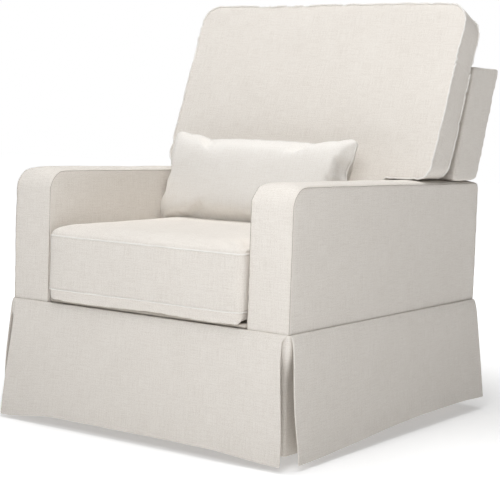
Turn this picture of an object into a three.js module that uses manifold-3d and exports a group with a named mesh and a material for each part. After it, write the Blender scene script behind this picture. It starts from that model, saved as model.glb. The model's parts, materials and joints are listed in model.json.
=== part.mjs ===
// Skirted swivel glider chair: an upholstered seat on a hanging-link glider over a round swivel base.
// Millimetres, +Z up, the chair faces -Y, and left is -X, as seen by someone facing the chair.
// The origin is on the floor under the swivel axis.
import * as THREE from "three";
import { mergeVertices } from "three/addons/utils/BufferGeometryUtils.js";
import Module from "manifold-3d";

const wasm = await Module();
wasm.setup();

// ---- driving dimensions ----
const GAP = 0.3; // left between pieces that touch
const BODY_WIDTH = 800; // over the arms
const BODY_DEPTH = 880; // arm fronts to outside back
const BODY_OFFSET_Y = -19.4; // middle of the body ahead of the swivel axis
const FRAME_BOTTOM = 236;
const RAIL_TOP = 284;
const SKIRT_SEAM_Z = 291;
const HEM_Z = 13;
const SKIRT_FLARE = { front: 31, side: 28, back: 25 }; // how far out the hem hangs
const CLOTH = 3.5; // thickness of a lined skirt panel

const ARM_WIDTH = 112;
const ARM_TOP = 604;
const ARM_DROP = 9; // the arm top falls this much towards the rear
const ARM_CORNER_RADIUS = 56;
const ARM_FRAME_WIDTH = 40;
const ARM_FRAME_TOP = 570;

const SEAT = { front: -460, rear: 187, bottom: 301, top: 478, halfWidth: 283, edgeRadius: 14 };
const BACK_CUSHION = { front: 147, slope: 0.355, depth: 118, top: 1056, stemBottom: 487, cornerRadius: 50 };
const BACK_SHELL = { front: 292, rear: 428, slope: 0.312, top: 912, edgeRadius: 16 };
const BACK_FRAME = { depth: 30, postInner: 190, postOuter: 225, wing: 370, top: 290 };
const PILLOW = { width: 536, height: 232, depth: 104, x: -17, y: 51, z: 592, lean: 17 };

const RAIL_THICK = 22;
const SPRING_WIRE = 4;

const RING_RADIUS = 265; // centreline of the floor ring
const RING_TUBE = 25;
const PAD_HEIGHT = 8; // floor to the underside of the ring
const PIVOT_Y = 165; // pivots ahead of and behind the swivel axis
const UPPER_PIVOT_Z = 215;
const LOWER_PIVOT_Z = 97;
const LINK = { width: 24, thick: 6, inner: 206 };
const PIN_RADIUS = 5;
const SHAFT_RADIUS = 6;
const RUNNING_GAP = 0.3;

const BODY_HALF = BODY_WIDTH / 2;
const BODY_FRONT = -BODY_DEPTH / 2;
const BODY_BACK = BODY_DEPTH / 2;
const ARM_INNER = BODY_HALF - ARM_WIDTH;
const ARM_FRAME_INNER = ARM_INNER + 37;
const ARM_FRAME_OUTER = ARM_FRAME_INNER + ARM_FRAME_WIDTH;
const FRAME_FRONT = BODY_FRONT + 22;
const FRAME_BACK = BODY_BACK - 18;
const SIDES = { left: -1, right: 1 };
const ENDS = { front: -1, rear: 1 };

// ---- materials ----
const surface = (color, roughness, metalness) => () =>
  new THREE.MeshStandardMaterial({ color, roughness, metalness });
const fabric = surface("#e5dfd5", 0.95, 0);
const deckCloth = surface("#cfc8bc", 0.95, 0);
const wood = surface("#c9a777", 0.7, 0);
const paintedSteel = surface("#2b2c2e", 0.5, 0.6);
const brightSteel = surface("#a9acb0", 0.3, 0.9);
const springSteel = surface("#6f7377", 0.4, 0.9);
const plastic = surface("#3a3a3c", 0.6, 0);

// ---- shape helpers ----
function node(name, geometry, material) {
  const mesh = new THREE.Mesh(geometry, material());
  mesh.name = name;
  return mesh;
}

function group(y, ...meshes) {
  const made = new THREE.Group();
  made.position.y = y;
  made.add(...meshes.flat());
  return made;
}

// A geometry as a closed solid that can be cut and joined.
function solid(geometry) {
  const bare = geometry.clone();
  bare.deleteAttribute("normal");
  bare.deleteAttribute("uv");
  const merged = mergeVertices(bare, 1e-4);
  return new wasm.Manifold(
    new wasm.Mesh({
      numProp: 3,
      vertProperties: new Float32Array(merged.attributes.position.array),
      triVerts: new Uint32Array(merged.index.array),
    }),
  );
}

// A closed solid as a geometry again.
function geometryOf(body) {
  const mesh = body.getMesh();
  const made = new THREE.BufferGeometry();
  made.setAttribute("position", new THREE.BufferAttribute(mesh.vertProperties, 3));
  made.setIndex(new THREE.BufferAttribute(mesh.triVerts, 1));
  made.computeVertexNormals();
  return made;
}

const join = (...pieces) => geometryOf(pieces.map(solid).reduce((a, b) => a.add(b)));
const cut = (piece, ...tools) => geometryOf(tools.map(solid).reduce((a, b) => a.subtract(b), solid(piece)));
const overlap = (a, b) => geometryOf(solid(a).intersect(solid(b)));

function box(x0, x1, y0, y1, z0, z1) {
  const made = new THREE.BoxGeometry(Math.abs(x1 - x0), Math.abs(y1 - y0), Math.abs(z1 - z0));
  return made.translate((x0 + x1) / 2, (y0 + y1) / 2, (z0 + z1) / 2);
}

// A box from one distance off the middle to another, on the given side.
const sideBox = (sign, near, far, ...rest) =>
  sign > 0 ? box(near, far, ...rest) : box(-far, -near, ...rest);

// A rod along X, centred at (x0..x1, y, z).
const rodX = (radius, x0, x1, y, z, sides = 20) =>
  new THREE.CylinderGeometry(radius, radius, Math.abs(x1 - x0), sides)
    .rotateZ(Math.PI / 2)
    .translate((x0 + x1) / 2, y, z);

// A rod along Z.
const rodZ = (radius, x, y, z0, z1, sides = 24) =>
  new THREE.CylinderGeometry(radius, radius, z1 - z0, sides)
    .rotateX(Math.PI / 2)
    .translate(x, y, (z0 + z1) / 2);

// A flat ring about Z.
const ringZ = (inner, outer, z0, z1, sides = 36) =>
  new THREE.LatheGeometry(
    [
      [inner, z0],
      [outer, z0],
      [outer, z1],
      [inner, z1],
      [inner, z0],
    ].map(([r, z]) => new THREE.Vector2(r, z)),
    sides,
  ).rotateX(Math.PI / 2);

// An outline of [y, z] points, drawn as a Shape, extruded along X.
function extrudeX(shape, x0, x1, curveSegments = 6) {
  const made = new THREE.ExtrudeGeometry(shape, { depth: x1 - x0, bevelEnabled: false, curveSegments });
  made.applyMatrix4(new THREE.Matrix4().set(0, 0, 1, x0, 1, 0, 0, 0, 0, 1, 0, 0, 0, 0, 0, 1));
  return made;
}

// An outline of [x, z] points, drawn as a Shape, extruded along Y.
const extrudeY = (shape, y0, y1, curveSegments = 6) =>
  new THREE.ExtrudeGeometry(shape, { depth: y1 - y0, bevelEnabled: false, curveSegments })
    .rotateX(Math.PI / 2)
    .translate(0, y1, 0);

// A closed polygon whose corners are rounded where a third value gives a radius.
function roundedShape(corners) {
  const shape = new THREE.Shape();
  const at = (i) => corners[(i + corners.length) % corners.length];
  corners.forEach(([x, y, radius = 0], i) => {
    const corner = new THREE.Vector2(x, y);
    const toward = (other) => {
      const step = new THREE.Vector2(other[0], other[1]).sub(corner);
      return corner.clone().add(step.setLength(Math.min(radius, step.length() / 2)));
    };
    const before = toward(at(i - 1));
    const after = toward(at(i + 1));
    if (i === 0) shape.moveTo(before.x, before.y);
    else shape.lineTo(before.x, before.y);
    if (radius) shape.quadraticCurveTo(x, y, after.x, after.y);
  });
  shape.closePath();
  return shape;
}

// A closed body between two rings of [x, y] points at two heights.
function loft(lowerRing, z0, upperRing, z1) {
  const count = lowerRing.length;
  const points = [...lowerRing.map(([x, y]) => [x, y, z0]), ...upperRing.map(([x, y]) => [x, y, z1])];
  const cap = THREE.ShapeUtils.triangulateShape(
    lowerRing.map(([x, y]) => new THREE.Vector2(x, y)),
    [],
  );
  const walls = lowerRing.flatMap((_, i) => {
    const next = (i + 1) % count;
    return [
      [i, next, count + next],
      [i, count + next, count + i],
    ];
  });
  const faces = [
    ...cap.map(([a, b, c]) => [c, b, a]),
    ...cap.map(([a, b, c]) => [a + count, b + count, c + count]),
    ...walls,
  ];
  const made = new THREE.BufferGeometry();
  made.setAttribute("position", new THREE.Float32BufferAttribute(points.flat(), 3));
  made.setIndex(faces.flat());
  made.computeVertexNormals();
  return made;
}

// A square-section wire along points.
function wire(points, thick, steps) {
  const half = thick / 2;
  const section = roundedShape([
    [-half, -half],
    [half, -half],
    [half, half],
    [-half, half],
  ]);
  const path = new THREE.CatmullRomCurve3(points.map((p) => new THREE.Vector3(...p)));
  return new THREE.ExtrudeGeometry(section, { steps, extrudePath: path });
}

// ---- floor base: a round tube ring with two bars, hub plate and pads ----
function floorBase() {
  const ringZ0 = PAD_HEIGHT + RING_TUBE / 2;
  const torus = (grow) =>
    new THREE.TorusGeometry(RING_RADIUS, RING_TUBE / 2 + grow, 10, 48).translate(0, 0, ringZ0);
  const barTop = ringZ0 + 10;
  const barReach = RING_RADIUS - RING_TUBE / 2;
  const bars = Object.entries(SIDES).map(([side, sign]) =>
    node(
      `cross_bar_${side}`,
      cut(sideBox(sign, 36, 66, -barReach, barReach, barTop - 20, barTop), torus(0.4)),
      paintedSteel,
    ),
  );
  const hubPlate = cut(
    rodZ(76, 0, 0, barTop + GAP, barTop + GAP + 5, 32),
    rodZ(8, 0, 0, barTop - 1, barTop + 7),
  );
  const pads = Object.entries(SIDES).flatMap(([side, sx]) =>
    Object.entries(ENDS).map(([end, sy]) => node(`floor_pad_${end}_${side}`, floorPad(sx, sy), plastic)),
  );
  return [
    node("base_ring", torus(0), paintedSteel),
    ...bars,
    node("hub_plate", hubPlate, paintedSteel),
    ...pads,
  ];
}

// A plastic glide that cups the underside of the ring.
function floorPad(sx, sy) {
  const angle = Math.atan2(sy, sx);
  const cup = rodZ(17, 0, 0, 0, PAD_HEIGHT + 8);
  const groove = new THREE.CylinderGeometry(RING_TUBE / 2 + 0.7, RING_TUBE / 2 + 0.7, 60, 20).translate(
    0,
    0,
    PAD_HEIGHT + RING_TUBE / 2,
  );
  return cut(cup, groove)
    .rotateZ(angle)
    .translate(RING_RADIUS * Math.cos(angle), RING_RADIUS * Math.sin(angle), 0);
}

// ---- swivel bearing: two races with a ball cage, held by a centre rivet ----
const HUB_TOP = PAD_HEIGHT + RING_TUBE / 2 + 10 + GAP + 5;
const RACE = { inner: 44, outer: 72, thick: 4, ball: 3, track: 58 };
const LOWER_RACE_Z = HUB_TOP + GAP;
const BALL_Z = LOWER_RACE_Z + RACE.thick + RACE.ball + GAP;
const UPPER_RACE_Z = BALL_Z + RACE.ball + GAP;
const SWIVEL_PLATE_Z = UPPER_RACE_Z + RACE.thick + GAP;
const SWIVEL_PLATE_TOP = SWIVEL_PLATE_Z + 5;

const race = (z) => ringZ(RACE.inner, RACE.outer, z, z + RACE.thick);

function ballCage() {
  const balls = Array.from({ length: 8 }, (_, i) => {
    const angle = (i * Math.PI) / 4;
    return new THREE.IcosahedronGeometry(RACE.ball, 1).translate(
      RACE.track * Math.cos(angle),
      RACE.track * Math.sin(angle),
      BALL_Z,
    );
  });
  return join(ringZ(RACE.track - 5, RACE.track + 5, BALL_Z - 1, BALL_Z + 1, 32), ...balls);
}

function centreRivet() {
  const radius = 7.5;
  const profile = [
    [0, HUB_TOP - 5 - 6],
    [14, HUB_TOP - 5 - 6],
    [14, HUB_TOP - 5 - GAP],
    [radius, HUB_TOP - 5 - GAP],
    [radius, SWIVEL_PLATE_TOP + GAP],
    [14, SWIVEL_PLATE_TOP + GAP],
    [12, SWIVEL_PLATE_TOP + 5],
    [0, SWIVEL_PLATE_TOP + 5],
  ];
  const points = profile.map(([r, z]) => new THREE.Vector2(r, z));
  return new THREE.LatheGeometry(points, 20).rotateX(Math.PI / 2);
}

// ---- glider frame: rails and posts that carry the upper pivots ----
const POST_INNER = LINK.inner + LINK.thick + 5;
const POST_THICK = 6;
const GLIDER_BASE_Z = SWIVEL_PLATE_TOP + GAP;

function gliderFrame() {
  const plate = cut(
    box(-85, 85, -85, 85, SWIVEL_PLATE_Z, SWIVEL_PLATE_TOP),
    rodZ(8, 0, 0, SWIVEL_PLATE_Z - 1, SWIVEL_PLATE_TOP + 1),
  );
  const railInner = POST_INNER - GAP - 25;
  const reach = railInner - GAP;
  const crossmembers = Object.entries(ENDS).map(([end, sign]) =>
    node(
      `glider_crossmember_${end}`,
      box(-reach, reach, sign * 60 - 20, sign * 60 + 20, GLIDER_BASE_Z, GLIDER_BASE_Z + 20),
      paintedSteel,
    ),
  );
  const rails = Object.entries(SIDES).map(([side, sign]) =>
    node(
      `glider_rail_${side}`,
      sideBox(sign, railInner, POST_INNER - GAP, -195, 195, GLIDER_BASE_Z, GLIDER_BASE_Z + 25),
      paintedSteel,
    ),
  );
  return [
    node("upper_race", race(UPPER_RACE_Z), brightSteel),
    node("ball_cage", ballCage(), brightSteel),
    node("centre_rivet", centreRivet(), brightSteel),
    node("swivel_plate", plate, paintedSteel),
    ...crossmembers,
    ...rails,
  ];
}

// One corner's post, link and upper pin, keyed by what body they belong to.
function corner(side, end) {
  const sign = SIDES[side];
  const y = ENDS[end] * PIVOT_Y;
  const postOuter = POST_INNER + POST_THICK;
  const hole = (radius, z) =>
    rodX(radius + RUNNING_GAP, sign * (LINK.inner - 9), sign * (postOuter + 9), y, z);
  const post = cut(
    sideBox(sign, POST_INNER, postOuter, y - 15, y + 15, GLIDER_BASE_Z, UPPER_PIVOT_Z + 13),
    hole(PIN_RADIUS, UPPER_PIVOT_Z),
  );
  const pin = join(
    rodX(PIN_RADIUS, sign * (LINK.inner - 2), sign * (postOuter + 2), y, UPPER_PIVOT_Z),
    rodX(PIN_RADIUS + 3, sign * (postOuter + GAP), sign * (postOuter + 4), y, UPPER_PIVOT_Z),
  );
  const half = LINK.width / 2;
  const bar = roundedShape([
    [y - half, LOWER_PIVOT_Z - half, half],
    [y + half, LOWER_PIVOT_Z - half, half],
    [y + half, UPPER_PIVOT_Z + half, half],
    [y - half, UPPER_PIVOT_Z + half, half],
  ]);
  const inner = sign > 0 ? LINK.inner : -LINK.inner - LINK.thick;
  const link = cut(
    extrudeX(bar, inner, inner + LINK.thick),
    hole(PIN_RADIUS, UPPER_PIVOT_Z),
    hole(SHAFT_RADIUS, LOWER_PIVOT_Z),
  );
  return {
    fixed: [
      node(`hanger_post_${end}_${side}`, post, paintedSteel),
      node(`upper_pin_${end}_${side}`, pin, brightSteel),
    ],
    moving: node(`glide_link_${end}_${side}`, link, brightSteel),
  };
}

// ---- carriage: side plates and lower shafts that hang on the links and carry the seat ----
const CARRIAGE_OUTER = LINK.inner - 4;
const CARRIAGE_THICK = 5;

function carriageSide(sign) {
  const top = FRAME_BOTTOM - GAP;
  const legHalf = 15;
  const outline = roundedShape([
    [-PIVOT_Y - legHalf, LOWER_PIVOT_Z - 12, 8],
    [-PIVOT_Y + legHalf, LOWER_PIVOT_Z - 12, 8],
    [-PIVOT_Y + legHalf, top - 30, 10],
    [PIVOT_Y - legHalf, top - 30, 10],
    [PIVOT_Y - legHalf, LOWER_PIVOT_Z - 12, 8],
    [PIVOT_Y + legHalf, LOWER_PIVOT_Z - 12, 8],
    [PIVOT_Y + legHalf, top],
    [-PIVOT_Y - legHalf, top],
  ]);
  const inner = CARRIAGE_OUTER - CARRIAGE_THICK;
  const start = sign > 0 ? inner : -CARRIAGE_OUTER;
  const plate = extrudeX(outline, start, start + CARRIAGE_THICK, 3);
  const flange = sideBox(sign, inner - 20, inner + 2, -PIVOT_Y - legHalf, PIVOT_Y + legHalf, top - 4, top);
  const holes = Object.values(ENDS).map((end) =>
    rodX(SHAFT_RADIUS + GAP, sign * (inner - 9), sign * (CARRIAGE_OUTER + 9), end * PIVOT_Y, LOWER_PIVOT_Z),
  );
  return cut(join(plate, flange), ...holes);
}

function carriage() {
  const reach = LINK.inner + LINK.thick + 2.5;
  return [
    ...Object.entries(SIDES).map(([side, sign]) =>
      node(`carriage_side_${side}`, carriageSide(sign), paintedSteel),
    ),
    ...Object.entries(ENDS).map(([end, sign]) =>
      node(
        `lower_shaft_${end}`,
        rodX(SHAFT_RADIUS, -reach, reach, sign * PIVOT_Y, LOWER_PIVOT_Z),
        brightSteel,
      ),
    ),
  ];
}

// ---- wooden seat frame, springs and deck ----
function seatFrame() {
  const railEnd = ARM_FRAME_INNER - 2 * GAP;
  const stringerOuter = 212;
  const stringerInner = stringerOuter - RAIL_THICK;
  const across = (front, end) => box(-end, end, front, front + RAIL_THICK, FRAME_BOTTOM, RAIL_TOP);
  const stringers = Object.entries(SIDES).map(([side, sign]) =>
    node(
      `seat_rail_${side}`,
      sideBox(
        sign,
        stringerInner,
        stringerOuter,
        FRAME_FRONT + RAIL_THICK + GAP,
        FRAME_BACK - RAIL_THICK - GAP,
        FRAME_BOTTOM,
        RAIL_TOP,
      ),
      wood,
    ),
  );
  const border = box(-railEnd, railEnd, BODY_FRONT, FRAME_FRONT - GAP, FRAME_BOTTOM, SKIRT_SEAM_Z - 1);
  const deckHalf = ARM_INNER - 2 * GAP;
  const deckRear = 240;
  const deck = box(-deckHalf, deckHalf, BODY_FRONT + 1, deckRear, SKIRT_SEAM_Z - 0.4, SEAT.bottom - 0.6);
  return [
    node("seat_rail_front", across(FRAME_FRONT, railEnd), wood),
    node("seat_rail_rear", across(FRAME_BACK - RAIL_THICK, railEnd), wood),
    ...stringers,
    node("spring_rail", across(SPRING_REAR - RAIL_THICK / 2, stringerInner - GAP), wood),
    node("seat_springs", seatSprings(), springSteel),
    node("seat_deck", deck, deckCloth),
    node("front_border", border, fabric),
  ];
}

// Sinuous springs tied across by two wires, as one spring unit.
const SPRING_REAR = 273;
const SPRING_FRONT = FRAME_FRONT + RAIL_THICK / 2;

function sinuous(place, start, end, bends, swing) {
  const points = Array.from({ length: 2 * bends + 1 }, (_, i) => {
    const side = i % 2 === 0 ? 0 : i % 4 === 1 ? swing : -swing;
    return place(side, start + ((end - start) * i) / (2 * bends));
  });
  return wire(points, SPRING_WIRE, bends * 6);
}

function seatSprings() {
  const z = RAIL_TOP + GAP + SPRING_WIRE / 2;
  const rows = [-132, -44, 44, 132].map((x) =>
    sinuous((side, y) => [x + side, y, z], SPRING_FRONT, SPRING_REAR, 9, 20),
  );
  const ties = [-200, 60].map((y) => box(-150, 150, y - 1.5, y + 1.5, z - 1.5, z + 1.5));
  return join(...rows, ...ties);
}

// ---- arms ----
function armFrame(sign) {
  const [front, rear, low, high] = [FRAME_FRONT, FRAME_BACK, FRAME_BOTTOM + GAP, ARM_FRAME_TOP];
  const shape = roundedShape([
    [front, low],
    [rear, low],
    [rear, high],
    [front, high, 20],
  ]);
  const member = 46;
  const middlePost = 150;
  const window = (y0, y1) =>
    sideBox(sign, ARM_FRAME_INNER - 1, ARM_FRAME_OUTER + 1, y0, y1, low + member, high - member);
  return cut(
    extrudeX(shape, ...sideSpan(sign, ARM_FRAME_INNER, ARM_FRAME_OUTER)),
    window(front + member, middlePost),
    window(middlePost + member, rear - member),
  );
}

const sideSpan = (sign, near, far) => (sign > 0 ? [near, far] : [-far, -near]);

function armUpholstery(sign) {
  const outline = roundedShape([
    [BODY_FRONT, FRAME_BOTTOM],
    [BODY_BACK, FRAME_BOTTOM],
    [BODY_BACK, ARM_TOP - ARM_DROP, 12],
    [BODY_FRONT, ARM_TOP, ARM_CORNER_RADIUS * 1.2],
  ]);
  const outer = extrudeX(outline, ...sideSpan(sign, ARM_INNER, BODY_HALF), 8);
  const room = 0.5;
  const pocket = sideBox(
    sign,
    ARM_FRAME_INNER - room,
    ARM_FRAME_OUTER + room,
    FRAME_FRONT - room,
    FRAME_BACK + room,
    FRAME_BOTTOM - 1,
    ARM_FRAME_TOP + room,
  );
  const railNotch = sideBox(
    sign,
    ARM_INNER - 1,
    ARM_FRAME_INNER,
    BODY_FRONT - 1,
    BODY_BACK + 1,
    FRAME_BOTTOM - 1,
    SKIRT_SEAM_Z - 0.7,
  );
  return cut(outer, pocket, railNotch);
}

function arms() {
  return Object.entries(SIDES).flatMap(([side, sign]) => [
    node(`arm_frame_${side}`, armFrame(sign), wood),
    node(`arm_upholstery_${side}`, armUpholstery(sign), fabric),
  ]);
}

// ---- back: wooden ladder frame with springs, its upholstered shell, and the loose-look cushion ----
const BACK_LEAN = Math.atan(BACK_SHELL.slope);
const BACK_MIDDLE = (BACK_SHELL.front + BACK_SHELL.rear) / 2;

// Moves a shape drawn upright about z = 0 into the leaning plane of the back frame.
const leanBack = (geometry) => geometry.rotateX(-BACK_LEAN).translate(0, BACK_MIDDLE, ARM_TOP);

function backFrameOutline(grow) {
  const wing = BACK_FRAME.wing + grow;
  const post = BACK_FRAME.postOuter + grow;
  const [foot, shoulder, top] = [-360 - grow, 26 - grow, BACK_FRAME.top + grow];
  return roundedShape([
    [-post, foot],
    [post, foot],
    [post, shoulder],
    [wing, shoulder],
    [wing, top],
    [-wing, top],
    [-wing, shoulder],
    [-post, shoulder],
  ]);
}

function backFrame() {
  const { postInner, postOuter, wing, depth, top } = BACK_FRAME;
  const member = 40;
  const bottomRailTop = -262;
  const sideRailTop = 70;
  const window = (x0, x1, z0) => box(x0, x1, -depth, depth, z0, top - member);
  const upright = cut(
    extrudeY(backFrameOutline(0), -depth / 2, depth / 2),
    window(-postInner, postInner, bottomRailTop),
    window(postOuter, wing - member, sideRailTop),
    window(-wing + member, -postOuter, sideRailTop),
  );
  const ladder = leanBack(upright);
  const belowRails = box(-500, 500, 100, 500, 100, RAIL_TOP + 2 * GAP);
  const springRoom = box(-postInner, postInner, 100, 500, 100, 306);
  return cut(ladder, belowRails, springRoom);
}

function backSprings() {
  const rows = [-95, 0, 95].map((x) =>
    sinuous((side, z) => [x + side, 0, z], -258, BACK_FRAME.top - 44, 7, 20),
  );
  const tie = box(-115, 115, -1.5, 1.5, 0, 3);
  return leanBack(join(...rows, tie));
}

function backShell() {
  const { front, rear, slope, top, edgeRadius } = BACK_SHELL;
  const faceAt = (y, z) => y + slope * (z - ARM_TOP);
  const wingBottom = ARM_TOP + 3;
  const topDrop = (rear - front) * slope;
  const wings = roundedShape([
    [faceAt(front, wingBottom), wingBottom],
    [faceAt(rear, wingBottom), wingBottom, 18],
    [faceAt(rear, top - topDrop / 2), top - topDrop / 2, edgeRadius],
    [faceAt(front, top + topDrop / 2), top + topDrop / 2, edgeRadius],
  ]);
  const shellFloor = SEAT.bottom;
  const outsideBack = BODY_BACK - 2;
  const lower = roundedShape([
    [faceAt(front, shellFloor), shellFloor],
    [FRAME_BACK + 2, shellFloor],
    [FRAME_BACK + 2, FRAME_BOTTOM],
    [outsideBack, FRAME_BOTTOM],
    [outsideBack, wingBottom + 4],
    [faceAt(front, wingBottom + 4), wingBottom + 4],
  ]);
  const sides = ARM_INNER - 0.6;
  const wingEnd = BODY_HALF - 2;
  const cornerRadius = 1.5 * edgeRadius;
  const corners = roundedShape([
    [-wingEnd, ARM_TOP],
    [wingEnd, ARM_TOP],
    [wingEnd, top + topDrop / 2, cornerRadius],
    [-wingEnd, top + topDrop / 2, cornerRadius],
  ]);
  const slab = overlap(extrudeX(wings, -wingEnd, wingEnd, 5), extrudeY(corners, 200, 600, 5));
  const room = 0.6;
  const pocketHalf = BACK_FRAME.depth / 2 + room;
  const pocket = leanBack(extrudeY(backFrameOutline(room), -pocketHalf, pocketHalf));
  return cut(join(slab, extrudeX(lower, -sides, sides)), pocket);
}

function backCushion() {
  const { front, slope, depth, top, stemBottom, cornerRadius } = BACK_CUSHION;
  const faceAt = (y, z) => y + slope * (z - ARM_TOP);
  const topDrop = depth * slope;
  const side = roundedShape([
    [faceAt(front, stemBottom), stemBottom],
    [faceAt(front + depth, stemBottom), stemBottom],
    [faceAt(front + depth, top - topDrop), top - topDrop, 20],
    [faceAt(front, top), top, 20],
  ]);
  const wingBottom = ARM_TOP + 5;
  const stem = ARM_INNER - 3;
  const outline = roundedShape([
    [-stem, stemBottom],
    [stem, stemBottom],
    [stem, wingBottom],
    [BODY_HALF, wingBottom, 24],
    [BODY_HALF, top, cornerRadius],
    [-BODY_HALF, top, cornerRadius],
    [-BODY_HALF, wingBottom, 24],
    [-stem, wingBottom],
  ]);
  return overlap(extrudeX(side, -BODY_HALF, BODY_HALF, 4), extrudeY(outline, 50, 500, 5));
}

function back() {
  return [
    node("back_frame", backFrame(), wood),
    node("back_springs", backSprings(), springSteel),
    node("back_upholstery", backShell(), fabric),
    node("back_cushion", backCushion(), fabric),
  ];
}

// ---- skirt: four flared panels with a recessed pleat insert at each corner ----
function skirtPanel(alongX, outward, flare, halfWidth, spread) {
  const faceTop = (alongX ? BODY_DEPTH : BODY_WIDTH) / 2 + 0.5;
  const ring = (face, half) => {
    const flat = [
      [-half, face],
      [half, face],
      [half, face + CLOTH],
      [-half, face + CLOTH],
    ];
    const placed = flat.map(([along, out]) => (alongX ? [along, outward * out] : [outward * out, along]));
    return alongX === outward > 0 ? placed : placed.reverse();
  };
  const hem = ring(faceTop + flare, halfWidth + spread);
  const seam = ring(faceTop, halfWidth);
  return loft(hem, HEM_Z, seam, SKIRT_SEAM_Z - 0.5);
}

function pleatInsert(sx, sy) {
  const flareY = sy < 0 ? SKIRT_FLARE.front : SKIRT_FLARE.back;
  const ring = (drop) => {
    const x = BODY_HALF + SKIRT_FLARE.side * drop - 4;
    const y = BODY_BACK + flareY * drop - 4;
    const leg = 70;
    const points = [
      [x, y],
      [x - leg, y],
      [x - leg, y - CLOTH],
      [x - CLOTH, y - CLOTH],
      [x - CLOTH, y - leg],
      [x, y - leg],
    ].map(([px, py]) => [sx * px, sy * py]);
    return sx * sy > 0 ? points : points.reverse();
  };
  const height = SKIRT_SEAM_Z - HEM_Z;
  const dropAt = (z) => (SKIRT_SEAM_Z - z) / height;
  const [low, high] = [HEM_Z + 15, FRAME_BOTTOM - 4];
  return loft(ring(dropAt(low)), low, ring(dropAt(high)), high);
}

function skirt() {
  const { front, side, back } = SKIRT_FLARE;
  const panels = [
    node("skirt_front", skirtPanel(true, -1, front, BODY_HALF - 2, 8), fabric),
    node("skirt_rear", skirtPanel(true, 1, back, BODY_HALF - 2, 8), fabric),
    node("skirt_left", skirtPanel(false, -1, side, BODY_BACK - 2, 4), fabric),
    node("skirt_right", skirtPanel(false, 1, side, BODY_BACK - 2, 4), fabric),
  ];
  const inserts = Object.entries(SIDES).flatMap(([across, sx]) =>
    Object.entries(ENDS).map(([end, sy]) =>
      node(`skirt_pleat_${end}_${across}`, pleatInsert(sx, sy), fabric),
    ),
  );
  return [...panels, ...inserts];
}

// ---- loose cushions ----
function seatCushion() {
  const { front, rear, bottom, top, halfWidth, edgeRadius } = SEAT;
  const side = roundedShape([
    [front, bottom, edgeRadius],
    [rear, bottom, edgeRadius],
    [rear, top, edgeRadius],
    [front, top, edgeRadius],
  ]);
  return extrudeX(side, -halfWidth, halfWidth, 4);
}

// A knife-edge pillow: a sphere squared towards its corners and flattened to a lens.
function lumbarPillow() {
  const { width, height, depth, x, y, z, lean } = PILLOW;
  const made = new THREE.SphereGeometry(1, 24, 10);
  const at = made.attributes.position;
  for (let i = 0; i < at.count; i += 1) {
    const across = new THREE.Vector2(at.getX(i), at.getZ(i));
    const widest = Math.max(Math.abs(across.x), Math.abs(across.y));
    const square = widest > 1e-9 ? (across.length() / widest) ** 0.8 : 1;
    across.multiplyScalar(square);
    at.setXYZ(i, (across.x * width) / 2, (at.getY(i) * depth) / 2, (across.y * height) / 2);
  }
  return made.rotateX(-THREE.MathUtils.degToRad(lean)).translate(x, y, z);
}

// ---- the whole chair ----
const corners = Object.keys(SIDES).flatMap((side) => Object.keys(ENDS).map((end) => corner(side, end)));
const chair = new THREE.Group();
chair.add(
  group(0, floorBase(), node("lower_race", race(LOWER_RACE_Z), brightSteel)),
  group(0, gliderFrame(), corners.flatMap((c) => c.fixed)),
  group(0, corners.map((c) => c.moving)),
  group(0, carriage()),
  group(BODY_OFFSET_Y, seatFrame(), arms(), back(), skirt()),
  group(BODY_OFFSET_Y, node("seat_cushion", seatCushion(), fabric)),
  group(BODY_OFFSET_Y, node("lumbar_pillow", lumbarPillow(), fabric)),
);

export default chair;
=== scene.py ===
"""Looks for the skirted swivel glider chair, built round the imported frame. Metres, row frame."""

import json
import math

import bmesh
import bpy
import numpy as np
from mathutils import Matrix, Vector, noise
from mathutils.bvhtree import BVHTree
from mathutils.kdtree import KDTree


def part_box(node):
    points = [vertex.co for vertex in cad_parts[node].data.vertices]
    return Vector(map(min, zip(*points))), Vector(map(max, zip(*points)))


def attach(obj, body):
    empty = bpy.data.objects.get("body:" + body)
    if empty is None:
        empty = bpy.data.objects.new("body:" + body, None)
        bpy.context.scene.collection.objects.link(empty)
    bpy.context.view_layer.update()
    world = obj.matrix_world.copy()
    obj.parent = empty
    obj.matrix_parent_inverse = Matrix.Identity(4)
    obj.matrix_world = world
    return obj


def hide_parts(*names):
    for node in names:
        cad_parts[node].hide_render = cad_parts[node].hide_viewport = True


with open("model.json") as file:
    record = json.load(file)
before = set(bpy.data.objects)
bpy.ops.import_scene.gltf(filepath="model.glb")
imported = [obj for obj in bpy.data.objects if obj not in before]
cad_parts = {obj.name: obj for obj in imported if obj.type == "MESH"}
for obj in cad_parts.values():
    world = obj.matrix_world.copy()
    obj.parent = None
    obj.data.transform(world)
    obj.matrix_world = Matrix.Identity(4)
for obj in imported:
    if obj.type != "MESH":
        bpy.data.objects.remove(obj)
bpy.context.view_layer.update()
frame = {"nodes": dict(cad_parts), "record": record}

# ---- places taken from the frame ----
LOW, HIGH = 0, 1
X, Y, Z = 0, 1, 2
SIDES = {"left": -1, "right": 1}
ENDS = {"front": -1, "rear": 1}
ARM_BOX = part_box("arm_upholstery_right")
SEAT_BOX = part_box("seat_cushion")
CUSHION_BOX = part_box("back_cushion")
SHELL_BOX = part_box("back_upholstery")
PILLOW_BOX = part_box("lumbar_pillow")
SKIRT_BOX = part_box("skirt_front")
DECK_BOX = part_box("seat_deck")
BORDER_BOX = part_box("front_border")

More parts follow.
